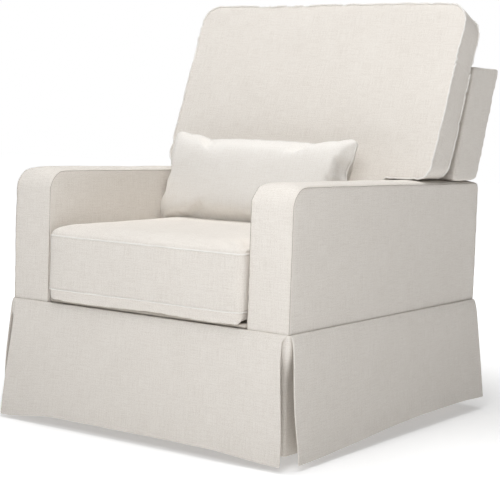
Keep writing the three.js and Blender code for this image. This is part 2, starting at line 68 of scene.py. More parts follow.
BODY_HALF = ARM_BOX[HIGH][X]
ARM_INNER = ARM_BOX[LOW][X]
ARM_TOP = ARM_BOX[HIGH][Z]
BODY_FRONT = ARM_BOX[LOW][Y]
BODY_REAR = ARM_BOX[HIGH][Y]
MID_Y = (BODY_FRONT + BODY_REAR) / 2
HALF_DEPTH = (BODY_REAR - BODY_FRONT) / 2
SEAM_Z = SKIRT_BOX[HIGH][Z] + 0.0005
HEM_Z = SKIRT_BOX[LOW][Z]

CLOTH_UV = "cloth"


# ---- mesh helpers ----
def mesh_object(name, points, faces, smooth=True):
    """A new mesh object in the scene."""
    mesh = bpy.data.meshes.new(name)
    mesh.from_pydata([tuple(p) for p in points], [], faces)
    mesh.update()
    if smooth:
        mesh.polygons.foreach_set("use_smooth", [True] * len(mesh.polygons))
    made = bpy.data.objects.new(name, mesh)
    bpy.context.scene.collection.objects.link(made)
    return made


def points_of(piece):
    """The vertices of a piece as an N by 3 array."""
    flat = np.empty(len(piece.data.vertices) * 3)
    piece.data.vertices.foreach_get("co", flat)
    return flat.reshape(-1, 3)


def move_points(piece, points):
    """Gives a piece's vertices new places."""
    piece.data.vertices.foreach_set("co", np.ascontiguousarray(points, dtype=float).ravel())
    piece.data.update()


def normals_of(piece):
    """The vertex normals of a piece as an N by 3 array."""
    flat = np.empty(len(piece.data.vertices) * 3)
    piece.data.vertices.foreach_get("normal", flat)
    return flat.reshape(-1, 3)


def bake_modifiers(piece):
    """Applies what the modifiers make, so that none is left on the piece."""
    evaluated = piece.evaluated_get(bpy.context.evaluated_depsgraph_get())
    made = bpy.data.meshes.new_from_object(evaluated)
    old = piece.data
    piece.modifiers.clear()
    piece.data = made
    made.name = piece.name
    bpy.data.meshes.remove(old)
    made.polygons.foreach_set("use_smooth", [True] * len(made.polygons))


def rounded(corners, step=0.006):
    """A closed outline of [a, b, radius] corners, with arcs at the corners and even steps between."""
    count = len(corners)
    outline = []
    for i, (a, b, radius) in enumerate(corners):
        corner = Vector((a, b))
        to_last = Vector(corners[i - 1][:2]) - corner
        to_next = Vector(corners[(i + 1) % count][:2]) - corner
        half_angle = to_last.angle(to_next) / 2
        reach = radius / math.tan(half_angle)
        start = corner + to_last.normalized() * reach
        end = corner + to_next.normalized() * reach
        if radius == 0:
            outline.append(corner)
            continue
        bisector = (to_last.normalized() + to_next.normalized()).normalized()
        centre = corner + bisector * (radius / math.sin(half_angle))
        swing = math.pi - 2 * half_angle
        turns = max(2, int(radius * swing / step))
        first = start - centre
        sign = 1 if first.cross(end - centre) > 0 else -1
        for k in range(turns + 1):
            angle = sign * swing * k / turns
            outline.append(centre + Matrix.Rotation(angle, 2) @ first)
    even = []
    for i, point in enumerate(outline):
        following = outline[(i + 1) % len(outline)]
        pieces = max(1, round((following - point).length / step))
        even += [tuple(point.lerp(following, k / pieces)) for k in range(pieces)]
    return even


def rectangle(half, low, high, radii):
    """A closed outline from -half to half and from low to high; radii: its lower and upper corners."""
    lower, upper = radii
    return rounded([(-half, low, lower), (half, low, lower), (half, high, upper), (-half, high, upper)])


PLACE = {
    "X": lambda a, b, c: (c, a, b),
    "Y": lambda a, b, c: (a, c, b),
    "Z": lambda a, b, c: (a, b, c),
}


def prism(name, outline, low, high, axis):
    """A closed solid with that outline, from low to high along an axis."""
    place = PLACE[axis]
    bm = bmesh.new()
    lower = [bm.verts.new(place(a, b, low)) for a, b in outline]
    upper = [bm.verts.new(place(a, b, high)) for a, b in outline]
    bm.faces.new(lower)
    bm.faces.new(upper)
    for i in range(len(outline)):
        j = (i + 1) % len(outline)
        bm.faces.new((lower[i], lower[j], upper[j], upper[i]))
    bmesh.ops.recalc_face_normals(bm, faces=bm.faces)
    mesh = bpy.data.meshes.new(name)
    bm.to_mesh(mesh)
    bm.free()
    made = bpy.data.objects.new(name, mesh)
    bpy.context.scene.collection.objects.link(made)
    return made


def remesh(piece, voxel, rounds=4, bevel=0.0):
    """An even mesh of small quads over the same shape, with its edges eased."""
    if bevel:
        edge = piece.modifiers.new("Bevel", "BEVEL")
        edge.width = bevel
        edge.segments = 5
        edge.limit_method = "ANGLE"
        edge.angle_limit = math.radians(50)
    modifier = piece.modifiers.new("Remesh", "REMESH")
    modifier.mode = "VOXEL"
    modifier.voxel_size = voxel
    modifier.use_smooth_shade = True
    ease = piece.modifiers.new("Ease", "SMOOTH")
    ease.factor = 0.5
    ease.iterations = rounds
    bake_modifiers(piece)


def subdivide(piece):
    """Splits each face in four, on a smooth surface."""
    piece.modifiers.new("Subdivide", "SUBSURF").levels = 1
    piece.modifiers["Subdivide"].render_levels = 1
    bake_modifiers(piece)


def distance_to(points, path):
    """How far each point is from the nearest point of a path."""
    tree = KDTree(len(path))
    for i, point in enumerate(path):
        tree.insert(point, i)
    tree.balance()
    return np.array([tree.find(point)[2] for point in points])


def dense(path, closed=True, pitch=0.0015):
    """The same path with points close together."""
    path = np.asarray(path, dtype=float)
    if closed:
        path = np.concatenate([path, path[:1]])
    return resampled(path, pitch)[0]


def snap_to(piece, seams, reach):
    """Moves the points that lie close to a seam exactly onto it, and returns their numbers."""
    points = points_of(piece)
    track = np.concatenate(seams)
    tree = KDTree(len(track))
    for i, point in enumerate(track):
        tree.insert(point, i)
    tree.balance()
    held = []
    for i, point in enumerate(points):
        nearest, _, gap = tree.find(point)
        if gap < reach:
            points[i] = nearest
            held.append(i)
    move_points(piece, points)
    return held


def fold_noise(points, scale, seed):
    """Smooth noise at each point, from -1 to 1."""
    shift = Vector((seed * 7.31, seed * 3.17, seed * 5.71))
    return np.array([noise.noise(Vector(p) * scale + shift) for p in points])


def inflate(piece, seams, pressure, cap, reach=0.0045, frames=20, stiffness=15.0, bending=0.5):
    """Swells a padded piece by cloth simulation, with its seams held; no point moves past its cap."""
    held = snap_to(piece, seams, reach) if seams else []
    start = points_of(piece)
    cloth = piece.modifiers.new("Cloth", "CLOTH")
    settings = cloth.settings
    settings.quality = 5
    settings.mass = 0.3
    settings.tension_stiffness = stiffness
    settings.compression_stiffness = stiffness
    settings.shear_stiffness = 5.0
    settings.bending_stiffness = bending
    settings.use_pressure = True
    settings.uniform_pressure_force = pressure
    settings.effector_weights.gravity = 0.0
    cloth.collision_settings.use_collision = False
    if held:
        group = piece.vertex_groups.new(name="seam")
        group.add(held, 1.0, "REPLACE")
        settings.vertex_group_mass = "seam"
    cloth.point_cache.frame_start = 1
    cloth.point_cache.frame_end = frames
    scene = bpy.context.scene
    for step in range(1, frames + 1):
        scene.frame_set(step)
    bake_modifiers(piece)
    scene.frame_set(1)
    moved = points_of(piece) - start
    length = np.linalg.norm(moved, axis=1)
    limit = np.broadcast_to(cap, length.shape)
    keep = limit * np.tanh(length / limit) / np.maximum(length, 1e-9)
    move_points(piece, start + moved * keep[:, None])
    piece.vertex_groups.clear()


def relax(piece, factor=0.5, rounds=2):
    """Smooths out the small creases of a simulation."""
    ease = piece.modifiers.new("Ease", "SMOOTH")
    ease.factor = factor
    ease.iterations = rounds
    bake_modifiers(piece)


def pinch(piece, seam, depth, width):
    """Draws the surface in along a seam."""
    points = points_of(piece)
    near = distance_to(points, seam)
    pull = depth * np.exp(-((near / width) ** 2))
    move_points(piece, points - normals_of(piece) * pull[:, None])


def pucker(piece, seam, depth, reach, scale, seed):
    """Small gathers that fade away from a seam."""
    points = points_of(piece)
    near = distance_to(points, seam)
    close = np.flatnonzero(near < reach * 2.5)
    wave = fold_noise(points[close], scale, seed)
    swell = np.zeros(len(points))
    swell[close] = depth * wave * np.exp(-((near[close] / reach) ** 2))
    move_points(piece, points + normals_of(piece) * swell[:, None])


def undulate(piece, depth, scale, seed):
    """Broad unevenness, as hand-filled upholstery has."""
    points = points_of(piece)
    swell = depth * fold_noise(points, scale, seed)
    move_points(piece, points + normals_of(piece) * swell[:, None])


def lay_cloth(piece):
    """A UV map in metres: each face is laid along the two axes that it faces least."""
    mesh = piece.data
    layer = mesh.uv_layers.get(CLOTH_UV) or mesh.uv_layers.new(name=CLOTH_UV)
    normals = np.empty(len(mesh.polygons) * 3)
    mesh.polygons.foreach_get("normal", normals)
    facing = np.abs(normals.reshape(-1, 3)).argmax(1)
    totals = np.empty(len(mesh.polygons), dtype=int)
    mesh.polygons.foreach_get("loop_total", totals)
    corner_facing = np.repeat(facing, totals)
    corners = np.empty(len(mesh.loops), dtype=int)
    mesh.loops.foreach_get("vertex_index", corners)
    at = points_of(piece)[corners]
    across = np.where(corner_facing == X, at[:, Y], at[:, X])
    along = np.where(corner_facing == Z, at[:, Y], at[:, Z])
    layer.data.foreach_set("uv", np.stack([across, along], 1).ravel())


def eased(path, rounds, closed):
    """A path with its corners averaged away."""
    path = np.asarray(path, dtype=float)
    for _ in range(rounds):
        if closed:
            path = (np.roll(path, 1, 0) + 2 * path + np.roll(path, -1, 0)) / 4
        else:
            path[1:-1] = (path[:-2] + 2 * path[1:-1] + path[2:]) / 4
    return path


def surface_tree(piece):
    """A search tree over the faces of a piece."""
    faces = [tuple(p.vertices) for p in piece.data.polygons]
    return BVHTree.FromPolygons([v.co for v in piece.data.vertices], faces)


def onto_surface(tree, path, lift, closed, ease=3):
    """A path laid on a surface, lifted off it, with the surface's normal at each point."""
    hits = [tree.find_nearest(Vector(p)) for p in path]
    normals = eased([h[1] for h in hits], 4, closed)
    normals /= np.linalg.norm(normals, axis=1)[:, None]
    placed = eased([h[0] for h in hits], ease, closed) + normals * lift
    return placed, normals


def tangents_of(path, closed):
    """The unit direction of a path at each point."""
    path = np.asarray(path, dtype=float)
    if closed:
        run = np.roll(path, -1, 0) - np.roll(path, 1, 0)
    else:
        run = np.gradient(path, axis=0)
    return run / np.maximum(np.linalg.norm(run, axis=1)[:, None], 1e-9)


def tube(name, path, normals, radius, closed, sides=8):
    """A round cord along a path, with its UV map in metres."""
    path = np.asarray(path, dtype=float)
    along = tangents_of(path, closed)
    across = np.cross(along, normals)
    across /= np.maximum(np.linalg.norm(across, axis=1)[:, None], 1e-9)
    up = np.cross(across, along)
    count = len(path)
    points = []
    for k in range(sides):
        angle = 2 * math.pi * k / sides
        points.append(path + radius * (math.cos(angle) * across + math.sin(angle) * up))
    points = np.stack(points, 1).reshape(-1, 3)
    faces = []
    for i in range(count if closed else count - 1):
        j = (i + 1) % count
        for k in range(sides):
            m = (k + 1) % sides
            faces.append((i * sides + k, i * sides + m, j * sides + m, j * sides + k))
    if not closed:
        faces.append(tuple(range(sides))[::-1])
        faces.append(tuple((count - 1) * sides + k for k in range(sides)))
    made = mesh_object(name, points, faces)
    travelled = np.concatenate([[0], np.cumsum(np.linalg.norm(np.diff(path, axis=0), axis=1))])
    layer = made.data.uv_layers.new(name=CLOTH_UV)
    for loop in made.data.loops:
        ring, side = divmod(loop.vertex_index, sides)
        layer.data[loop.index].uv = (travelled[ring], side * 2 * math.pi * radius / sides)
    return made


def resampled(path, pitch, *others):
    """A path, and others that go with it point by point, at an even pitch along the path."""
    path = np.asarray(path, dtype=float)
    lengths = np.concatenate([[0], np.cumsum(np.linalg.norm(np.diff(path, axis=0), axis=1))])
    marks = np.arange(pitch / 2, lengths[-1], pitch)
    rows = (path, *others)
    return [np.stack([np.interp(marks, lengths, row[:, k]) for k in range(3)], 1) for row in rows]


def stitches(name, path, normals, pitch=0.0075, length=0.0048, radius=0.00055):
    """A row of thread stitches: each a small rounded bar that dips at both ends."""
    centres, ups = resampled(path, pitch, normals)
    ups /= np.linalg.norm(ups, axis=1)[:, None]
    along = tangents_of(centres, False)
    across = np.cross(along, ups)
    rings = [(-0.5, 0.25, -0.6), (-0.3, 1.0, 0.2), (0.3, 1.0, 0.2), (0.5, 0.25, -0.6)]
    sides = 6
    points, faces = [], []
    for c, t, n, a in zip(centres, along, ups, across):
        base = len(points)
        for reach, fat, rise in rings:
            middle = c + t * reach * length + n * rise * radius
            for k in range(sides):
                angle = 2 * math.pi * k / sides
                points.append(middle + fat * radius * (math.cos(angle) * a + math.sin(angle) * n))
        for r in range(len(rings) - 1):
            for k in range(sides):
                m = (k + 1) % sides
                low, high = base + r * sides, base + (r + 1) * sides
                faces.append((low + k, low + m, high + m, high + k))
        faces.append(tuple(base + k for k in range(sides))[::-1])
        faces.append(tuple(base + (len(rings) - 1) * sides + k for k in range(sides)))
    return mesh_object(name, points, faces)


def finish_piece(piece, material, body):
    """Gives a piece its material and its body."""
    piece.data.materials.clear()
    piece.data.materials.append(material)
    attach(piece, body)
    return piece


# ---- materials ----
class Graph:
    """Short calls for building a material's nodes."""

    def __init__(self, name):
        self.material = bpy.data.materials.new(name)
        self.material.use_nodes = True
        self.tree = self.material.node_tree
        self.shader = self.tree.nodes["Principled BSDF"]

    def link(self, output, socket):
        self.tree.links.new(output, socket)

    def feed(self, node, index, value):
        if isinstance(value, (int, float)):
            node.inputs[index].default_value = value
        elif value is not None:
            self.link(value, node.inputs[index])

    def math(self, operation, a, b=None):
        node = self.tree.nodes.new("ShaderNodeMath")
        node.operation = operation
        self.feed(node, 0, a)
        self.feed(node, 1, b)
        return node.outputs[0]

    def mix(self, factor, a, b):
        """Blends two numbers."""
        node = self.tree.nodes.new("ShaderNodeMix")
        for index, value in enumerate((factor, None, a, b)):
            if index != 1:
                self.feed(node, index, value)
        return node.outputs[0]

    def uv(self):
        node = self.tree.nodes.new("ShaderNodeUVMap")
        node.uv_map = CLOTH_UV
        return node.outputs[0]

    def place(self):
        return self.tree.nodes.new("ShaderNodeTexCoord").outputs["Object"]

    def split(self, vector):
        node = self.tree.nodes.new("ShaderNodeSeparateXYZ")
        self.link(vector, node.inputs[0])
        return node.outputs

    def scaled(self, vector, x, y, z=1.0):
        node = self.tree.nodes.new("ShaderNodeMapping")
        node.inputs["Scale"].default_value = (x, y, z)
        self.link(vector, node.inputs[0])
        return node.outputs[0]

    def noise(self, vector, scale, detail=2.0, roughness=0.5):
        node = self.tree.nodes.new("ShaderNodeTexNoise")
        node.inputs["Scale"].default_value = scale
        node.inputs["Detail"].default_value = detail
        node.inputs["Roughness"].default_value = roughness
        self.link(vector, node.inputs["Vector"])
        return node.outputs[0]

    def span(self, value, low, high, to_low, to_high):
        """Maps a range of a value to another range, with its ends held."""
        node = self.tree.nodes.new("ShaderNodeMapRange")
        for index, bound in enumerate((low, high, to_low, to_high), 1):
            node.inputs[index].default_value = bound
        self.link(value, node.inputs[0])
        return node.outputs[0]

    def ramp(self, value, *stops):
        node = self.tree.nodes.new("ShaderNodeValToRGB")
        elements = node.color_ramp.elements
        while len(elements) < len(stops):
            elements.new(0.5)
        for element, (position, colour) in zip(elements, stops):
            element.position = position
            element.color = (*colour, 1.0)
        self.link(value, node.inputs[0])
        return node.outputs[0]

    def bump(self, height, strength, distance, normal=None):
        node = self.tree.nodes.new("ShaderNodeBump")
        node.inputs["Strength"].default_value = strength
        node.inputs["Distance"].default_value = distance
        self.link(height, node.inputs["Height"])
        if normal is not None:
            self.link(normal, node.inputs["Normal"])
        return node.outputs[0]

    def set(self, **values):
        for key, value in values.items():
            socket = self.shader.inputs[key.replace("_", " ")]
            if isinstance(value, bpy.types.NodeSocket):
                self.link(value, socket)
            else:
                socket.default_value = value
        return self.material


def linear(r, g, b):
    """A display colour of 0 to 255 as linear light."""
    return tuple(
        c / 12.92 if c <= 0.04045 else ((c + 0.055) / 1.055) ** 2.4 for c in (r / 255, g / 255, b / 255)
    )


def woven(name, pale, dark, pitch=0.0015, slub=0.35, sheen=0.12, depth=0.0004):
    """Plain-weave linen: threads over and under, with slubs, flecks, a soft mottle and painted shade in
    the gaps between threads.
    """
    g = Graph(name)
    uv = g.uv()
    waver = g.noise(uv, 90.0, 1.0)
    u, v, _ = g.split(uv)
    wander = g.math("MULTIPLY", g.math("SUBTRACT", waver, 0.5), 0.0011)
    thread_u = g.math("DIVIDE", g.math("ADD", u, wander), pitch)
    thread_v = g.math("DIVIDE", g.math("SUBTRACT", v, wander), pitch)
    parity = g.math("ADD", g.math("FLOOR", thread_u), g.math("FLOOR", thread_v))
    over = g.math("ABSOLUTE", g.math("MODULO", parity, 2.0))

    def crown(thread):
        centred = g.math("SUBTRACT", g.math("MULTIPLY", g.math("FRACT", thread), 2.0), 1.0)
        return g.math("SUBTRACT", 1.0, g.math("MULTIPLY", centred, centred))

    weave = g.mix(over, crown(thread_u), crown(thread_v))
    warp = g.noise(g.scaled(uv, 520.0, 22.0), 1.0, 2.0, 0.6)
    weft = g.noise(g.scaled(uv, 22.0, 520.0), 1.0, 2.0, 0.6)
    threads = g.mix(over, warp, weft)
    fleck = g.noise(uv, 330.0, 2.0, 0.7)
    mottle = g.noise(uv, 9.0, 3.0, 0.5)
    tone = g.math("ADD", g.span(threads, 0.3, 0.7, -slub, slub), g.span(fleck, 0.3, 0.7, -0.25, 0.25))
    tone = g.math("ADD", tone, g.span(mottle, 0.3, 0.7, -0.05, 0.05))
    # Painted shade: the colour darkens at the thread edges and in the gaps, where the weave is low.
    tone = g.math("ADD", tone, g.span(weave, 0.0, 1.0, -0.6, 0.15))
    colour = g.ramp(g.span(tone, -1.0, 1.0, 0.0, 1.0), (0.0, dark), (0.62, pale))
    height = g.math("ADD", weave, g.math("MULTIPLY", threads, 0.8))
    height = g.math("ADD", height, g.math("MULTIPLY", fleck, 0.7))
    return g.set(
        Base_Color=colour,
        Roughness=0.92,
        Sheen_Weight=sheen,
        Sheen_Roughness=0.45,
        Specular_IOR_Level=0.25,
        Normal=g.bump(height, 0.55, depth),
    )


def wood_material():
    """Sawn frame timber: bands, pores and a matt face."""
    g = Graph("frame_wood")
    place = g.place()
    warp = g.noise(g.scaled(place, 3.0, 1.0, 3.0), 6.0, 3.0)
    height = g.split(place)[Z]
    rings = g.math("ADD", g.math("MULTIPLY", height, 420.0), g.math("MULTIPLY", warp, 14.0))
    band = g.span(g.math("SINE", rings), -1.0, 1.0, 0.0, 1.0)
    pores = g.noise(g.scaled(place, 900.0, 25.0, 900.0), 1.0, 2.0)
    tone = g.math("ADD", g.math("MULTIPLY", band, 0.35), g.math("MULTIPLY", pores, 0.65))
    colour = g.ramp(tone, (0.2, (0.56, 0.40, 0.24)), (0.8, (0.72, 0.56, 0.37)))
    return g.set(
        Base_Color=colour,
        Roughness=g.span(pores, 0.3, 0.7, 0.55, 0.75),
        Normal=g.bump(tone, 0.3, 0.0004),
    )


def steel_material(name, dark, pale, roughness, metallic, grain):
    """Steel with drawn or rolled marks, and duller patches."""
    g = Graph(name)
    place = g.place()
    marks = g.noise(g.scaled(place, grain, 12.0, grain), 1.0, 2.0)
    patches = g.noise(place, 14.0, 4.0, 0.6)
    tone = g.math("ADD", g.math("MULTIPLY", marks, 0.5), g.math("MULTIPLY", patches, 0.5))
    return g.set(
        Base_Color=g.ramp(tone, (0.3, dark), (0.7, pale)),
        Metallic=metallic,
        Roughness=g.span(patches, 0.3, 0.7, roughness - 0.07, roughness + 0.1),
        Normal=g.bump(marks, 0.15, 0.0002),
    )


def powder_coat():
    """Black powder coat: fine orange peel, paler where it is rubbed."""
    g = Graph("powder_coat")
    place = g.place()
    peel = g.noise(place, 900.0, 2.0)
    rubbed = g.noise(place, 18.0, 5.0, 0.65)
    return g.set(
        Base_Color=g.ramp(rubbed, (0.35, (0.018, 0.019, 0.02)), (0.75, (0.05, 0.05, 0.053))),
        Metallic=0.0,
        Roughness=g.span(rubbed, 0.3, 0.7, 0.38, 0.52),
        Normal=g.bump(peel, 0.25, 0.0003),
    )


def plastic_material():
    """Black moulded plastic with long scuffs."""
    g = Graph("pad_plastic")
    place = g.place()
    grain = g.noise(place, 1400.0, 2.0)
    scuffs = g.noise(g.scaled(place, 60.0, 300.0, 60.0), 1.0, 3.0)
    return g.set(
        Base_Color=g.ramp(scuffs, (0.4, (0.03, 0.03, 0.032)), (0.8, (0.08, 0.08, 0.085))),
        Roughness=g.span(scuffs, 0.3, 0.7, 0.5, 0.7),
        Normal=g.bump(grain, 0.3, 0.0002),
    )


def thread_material():
    """Twisted sewing thread."""
    g = Graph("sewing_thread")
    place = g.place()
    twist = g.noise(place, 1500.0, 1.0)
    return g.set(
        Base_Color=g.ramp(twist, (0.3, linear(222, 216, 206)), (0.7, linear(240, 236, 229))),
        Roughness=0.7,
        Sheen_Weight=0.1,
        Normal=g.bump(twist, 0.4, 0.0002),
    )


LINEN = woven("cream_linen", linear(240, 235, 228), linear(206, 197, 187))
PILLOW_LINEN = woven("pillow_linen", linear(247, 244, 239), linear(224, 217, 209))
# The welt cords are the same cloth as the linen; their paler tone is a painted highlight, the light line
# along the welts.
HIGHLIT_WELT = woven("welt_linen_painted_highlight", linear(246, 244, 240), linear(224, 217, 209), pitch=0.0011, slub=0.3)
DECK = woven("deck_cloth", linear(224, 217, 207), linear(198, 189, 177), pitch=0.0016, slub=0.3)
THREAD = thread_material()
# Painted shadow: this darker cord colour stands in for the thin dark groove line along the arm seams.
SEAM_SHADOW_CORD = woven("painted_seam_shadow", linear(188, 180, 171), linear(162, 154, 145), pitch=0.0011, slub=0.2)
FRAME_MATERIALS = {
    "frame_wood": wood_material(),
    "painted_steel": powder_coat(),
    "bright_steel": steel_material("zinc_steel", (0.42, 0.43, 0.45), (0.62, 0.63, 0.65), 0.32, 1.0, 500.0),
    "spring_steel": steel_material("spring_steel", (0.2, 0.21, 0.22), (0.36, 0.37, 0.39), 0.4, 1.0, 700.0),
    "pad_plastic": plastic_material(),
}


def dress_frame():
    """Gives each hard CAD node its finish."""
    slots = {row["node"]: row["material_slot"] for row in frame["record"]["subparts"]}
    dressed = 0
    for name, node in frame["nodes"].items():
        if slots[name] in FRAME_MATERIALS:
            for socket in node.material_slots:
                socket.material = FRAME_MATERIALS[slots[name]]
            dressed += 1
    if not dressed:
        raise ValueError("no hard node took a finish: the record's slots and FRAME_MATERIALS disagree")


# ---- seat cushion ----
LIP_DROP = 0.012  # how far the front lip drops, past the deck's front edge
SEAT_CAP = 0.008  # most that the cushion swells
SEAT_SIDE_CAP = 0.0025  # the same beside the arms


def seat_cushion():
    """The boxed loose cushion, with a front lip that drops past the deck's edge, and its two welts."""
    low, high = SEAT_BOX
    half = high[X] - 0.001
    front, rear = low[Y] + 0.004, high[Y] - 0.004
    seam_low, seam_high = low[Z] + 0.025, high[Z] - 0.025
    radius = 0.020
    outline = rectangle(half, front, rear, (radius, radius))
    piece = prism("seat_cushion_cover", outline, low[Z] + 0.001, high[Z] - 0.006, "Z")
    remesh(piece, 0.008, 2, bevel=0.012)
    seams = [dense([(a, b, z) for a, b in outline]) for z in (seam_low, seam_high)]
    facing = normals_of(piece)
    cap = np.where(np.abs(facing[:, X]) > 0.7, SEAT_SIDE_CAP, SEAT_CAP)
    inflate(piece, seams, 5.0, cap)
    points = points_of(piece)
    points[:, Z] = np.maximum(points[:, Z], low[Z] + 0.0005)
    move_points(piece, points)
    relax(piece, 0.5, 1)
    subdivide(piece)
    for k, seam in enumerate(seams):
        pucker(piece, seam, 0.0016, 0.022, 42.0, 3 + k)
        pinch(piece, seam, 0.0020, 0.005)
    undulate(piece, 0.0022, 7.0, 2)
    points = points_of(piece)
    points[:, Z] = np.maximum(points[:, Z], low[Z] + 0.0005)
    overhang = 1 - smooth_step(points[:, Y], BODY_FRONT - 0.008, BODY_FRONT + 0.004)
    lower = 1 - smooth_step(points[:, Z], low[Z] + 0.012, low[Z] + 0.050)
    points[:, Z] -= LIP_DROP * overhang * lower
    move_points(piece, points)
    lay_cloth(piece)
    finish_piece(piece, LINEN, "loose_seat_cushion")
    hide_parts("seat_cushion")
    tree = surface_tree(piece)
    for name, seam in zip(("low", "high"), seams):
        path, normals = onto_surface(tree, seam, 0.0006, True)
        cord = tube(f"seat_cushion_welt_{name}", path, normals, 0.0019, True)
        finish_piece(cord, HIGHLIT_WELT, "loose_seat_cushion")


# ---- leaning pieces ----
def leaning(slope, y, z):
    """From an upright frame (y back, z up) to one that leans back by that slope, based at y, z."""
    return Matrix.Translation((0, y, z)) @ Matrix.Rotation(-math.atan(slope), 4, "X")


def cord_round(name, piece, seam, radius, material, body, at, closed=True, lift=0.0006):
    """A cord laid along a seam of an upright piece, then leant by the transform at."""
    tree = surface_tree(piece)
    path, normals = onto_surface(tree, seam, lift, closed)
    cord = tube(name, path, normals, radius, closed)
    cord.data.transform(at)
    return finish_piece(cord, material, body)


BACK_SLOPE = 0.385
BACK_SEAM_GAP = 0.088  # from the front seam to the rear one
BACK_CAPS = (0.036, 0.040, 0.010)  # most that the front, rear and boxing swell
BACK_FRONT_Y = MID_Y + 0.151
SHELL_SLOPE = 0.312
SHELL_FRONT_Y = MID_Y + 0.294
ARM_LINE_Z = ARM_TOP


def back_cushion():
    """The thick leaning cushion in front of the shell, with wings over the arms, and its two welts."""
    at = leaning(BACK_SLOPE, BACK_FRONT_Y, ARM_LINE_Z)
    half = CUSHION_BOX[HIGH][X] + 0.005
    stem = ARM_INNER - 0.008
    rise = math.cos(math.atan(BACK_SLOPE))
    foot = (CUSHION_BOX[LOW][Z] + 0.012 - ARM_LINE_Z) / rise
    shoulder = 0.004
    top = (CUSHION_BOX[HIGH][Z] - 0.004 - ARM_LINE_Z) / rise
    depth = BACK_SEAM_GAP
    front_cap, rear_cap, boxing_cap = BACK_CAPS
    outline = rounded(
        [
            (-stem, foot, 0.02),
            (stem, foot, 0.02),
            (stem, shoulder, 0.006),
            (half - 0.003, shoulder, 0.034),
            (half + 0.004, top, 0.052),
            (-half - 0.004, top, 0.052),
            (-half + 0.001, shoulder, 0.034),
            (-stem, shoulder, 0.006),
        ]
    )

    def level(points):
        """Lifts the wings towards the rear, so that they lie flat, just above the arms."""
        wing = smooth_step(np.abs(points[:, X]), stem - 0.004, stem + 0.012)
        low = 1 - smooth_step(points[:, Z], shoulder + 0.02, shoulder + 0.16)
        points[:, Z] += points[:, Y] * BACK_SLOPE * wing * low
        return points

    piece = prism("back_cushion_cover", outline, 0.0, depth, "Y")
    remesh(piece, 0.008)
    move_points(piece, level(points_of(piece)))
    seams = [level(np.array(dense([(a, y, b) for a, b in outline]))) for y in (0.0, depth)]
    facing = normals_of(piece)
    cap = np.where(facing[:, Y] < -0.7, front_cap, np.where(facing[:, Y] > 0.7, rear_cap, boxing_cap))
    inflate(piece, seams, 4.5, cap, reach=0.0075)
    relax(piece, 0.5, 1)
    subdivide(piece)
    for k, seam in enumerate(seams):
        pucker(piece, seam, 0.0018, 0.024, 36.0, 13 + k)
        pinch(piece, seam, 0.0018, 0.005)
    undulate(piece, 0.003, 6.0, 12)
    lay_cloth(piece)
    piece.data.transform(at)
    finish_piece(piece, LINEN, "seat_body")
    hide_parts("back_cushion")
    piece.data.transform(at.inverted())  # upright again while its welts are laid
    for name, seam in zip(("front", "rear"), seams):
        cord_round(f"back_cushion_welt_{name}", piece, seam, 0.0023, HIGHLIT_WELT, "seat_body", at, lift=0.0014)
    piece.data.transform(at)


SHELL_DEPTH = 0.135  # at the arms
SHELL_TOP_DEPTH = 0.151
SHELL_RISE = 0.287  # level top edge above the arms


def back_shell():
    """The padded shell behind the cushion: slanted front and rear, a level top, convex sides."""
    half = SHELL_BOX[HIGH][X] + 0.001
    base, top = ARM_LINE_Z - 0.003, ARM_LINE_Z + SHELL_RISE

    def face(offset, z):
        return SHELL_FRONT_Y + offset + SHELL_SLOPE * (z - ARM_LINE_Z)

    outline = rounded(
        [
            (face(0, base), base, 0.012),
            (face(SHELL_DEPTH, base), base, 0.022),
            (face(SHELL_TOP_DEPTH, top), top, 0.009),
            (face(0, top), top, 0.009),
        ]
    )
    slab = prism("back_shell_cover", outline, -half, half, "X")
    remesh(slab, 0.008, 3)
    seams = [dense([(x, a, b) for a, b in outline]) for x in (-half, half)]
    facing = normals_of(slab)
    side = np.abs(facing[:, X]) > 0.7
    cap = np.where(side, 0.009, np.where(facing[:, Z] < -0.5, 0.001, 0.004))
    inflate(slab, seams, 5.0, cap, reach=0.0075)
    relax(slab, 0.5, 1)
    subdivide(slab)
    for k, seam in enumerate(seams):
        pinch(slab, seam, 0.0012, 0.004)
        pucker(slab, seam, 0.0010, 0.02, 34.0, 23 + k)
    undulate(slab, 0.0018, 8.0, 22)
    lay_cloth(slab)
    finish_piece(slab, LINEN, "seat_body")
    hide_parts("back_upholstery")


OUTSIDE_PANEL = (0.262, 0.640)  # low and high edge
INSIDE_PANEL = (0.300, 0.630)
INSIDE_PANEL_DEPTH = (0.205, 0.30)  # its two faces, behind the middle of the chair


def outside_back():
    """The panels that close the back between the arms, below the leaning shell: outside and inside."""
    half = ARM_INNER - 0.001
    face = BODY_REAR - 0.004
    front = BODY_REAR - 0.026
    outline = rectangle(half, *OUTSIDE_PANEL, (0.004, 0.004))
    piece = prism("outside_back_panel", outline, front, face, "Y")
    remesh(piece, 0.006)
    subdivide(piece)
    undulate(piece, 0.0015, 7.0, 31)
    lay_cloth(piece)
    finish_piece(piece, LINEN, "seat_body")
    inside = prism(
        "inside_back_panel",
        rectangle(half, *INSIDE_PANEL, (0.004, 0.004)),
        MID_Y + INSIDE_PANEL_DEPTH[0],
        MID_Y + INSIDE_PANEL_DEPTH[1],
        "Y",
    )
    remesh(inside, 0.01)
    subdivide(inside)
    lay_cloth(inside)
    finish_piece(inside, LINEN, "seat_body")


# ---- arms ----
ARM_CROWN = 0.007  # extra rise of the padded top between its seams
ARM_FOOT = 0.274  # lower edge, behind the skirt
ARM_FALL = 0.010  # how much lower the top is at the rear
ARM_FRONT_RADIUS = 0.052


